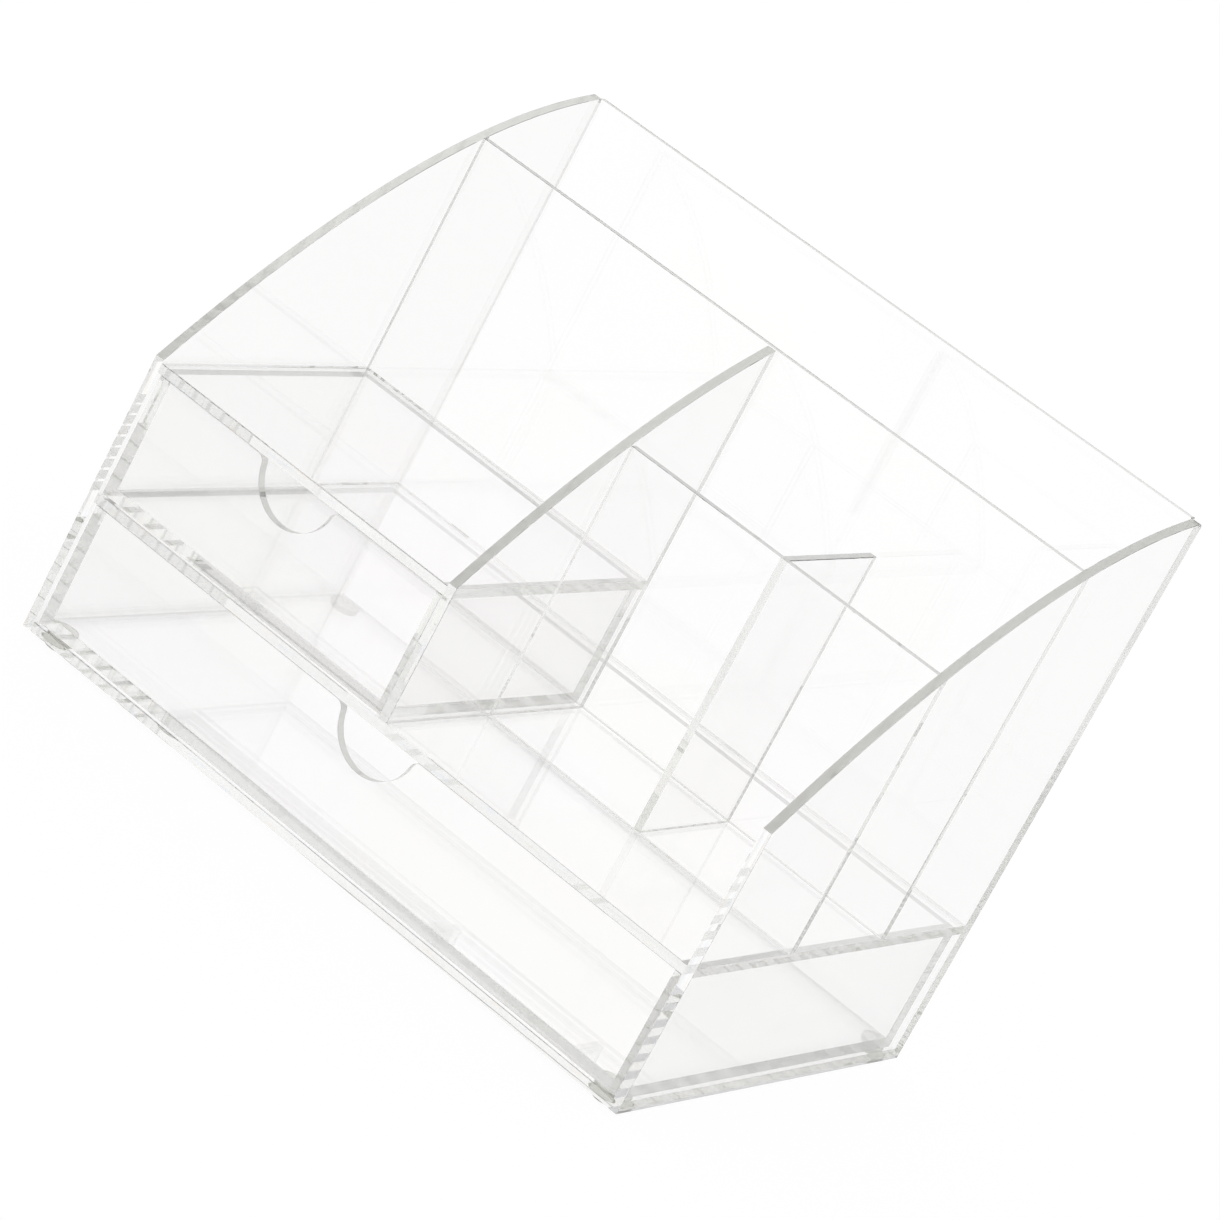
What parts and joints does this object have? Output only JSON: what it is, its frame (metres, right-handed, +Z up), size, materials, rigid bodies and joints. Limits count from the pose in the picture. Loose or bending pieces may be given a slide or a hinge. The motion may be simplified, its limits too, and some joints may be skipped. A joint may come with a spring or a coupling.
{
  "type": "brush holder with drawers",
  "caption": "Clear acrylic desktop organiser: curved-sided open compartments for brushes and jars above a full-width drawer, with a half-width drawer at the left.",
  "frame": {"origin": "centre of the rectangle that the casing covers on the table, at the underside of the feet", "axes": "+X to the object's right seen from the front, -Y out of the front where the drawers open, +Z up"},
  "size_m": [0.24, 0.1526, 0.1882],
  "materials": {
    "clear_acrylic": "clear acrylic sheet with polished faces, and edges that are polished or saw-cut",
    "clear_bumper": "clear soft stick-on bumper, slightly grey-green"
  },
  "bodies": {
    "casing": {"left_side_panel": "clear_acrylic", "right_side_panel": "clear_acrylic", "back_panel": "clear_acrylic", "base_panel": "clear_acrylic", "deck_panel": "clear_acrylic", "upper_shelf": "clear_acrylic", "middle_partition": "clear_acrylic", "rear_divider": "clear_acrylic", "front_divider": "clear_acrylic", "cross_divider": "clear_acrylic", "foot_front_left": "clear_bumper", "foot_front_right": "clear_bumper", "foot_rear_left": "clear_bumper", "foot_rear_right": "clear_bumper"},
    "lower_drawer": {"lower_drawer_front": "clear_acrylic", "lower_drawer_left_wall": "clear_acrylic", "lower_drawer_right_wall": "clear_acrylic", "lower_drawer_back_wall": "clear_acrylic", "lower_drawer_floor": "clear_acrylic"},
    "upper_drawer": {"upper_drawer_front": "clear_acrylic", "upper_drawer_left_wall": "clear_acrylic", "upper_drawer_right_wall": "clear_acrylic", "upper_drawer_back_wall": "clear_acrylic", "upper_drawer_floor": "clear_acrylic"}
  },
  "joints": [
    {"name": "lower_drawer_slide", "type": "slide", "parent": "casing", "child": "lower_drawer", "axis": [0, -1, 0], "range_m": [0, 0.132]},
    {"name": "upper_drawer_slide", "type": "slide", "parent": "casing", "child": "upper_drawer", "axis": [0, -1, 0], "range_m": [0, 0.085]}
  ]
}
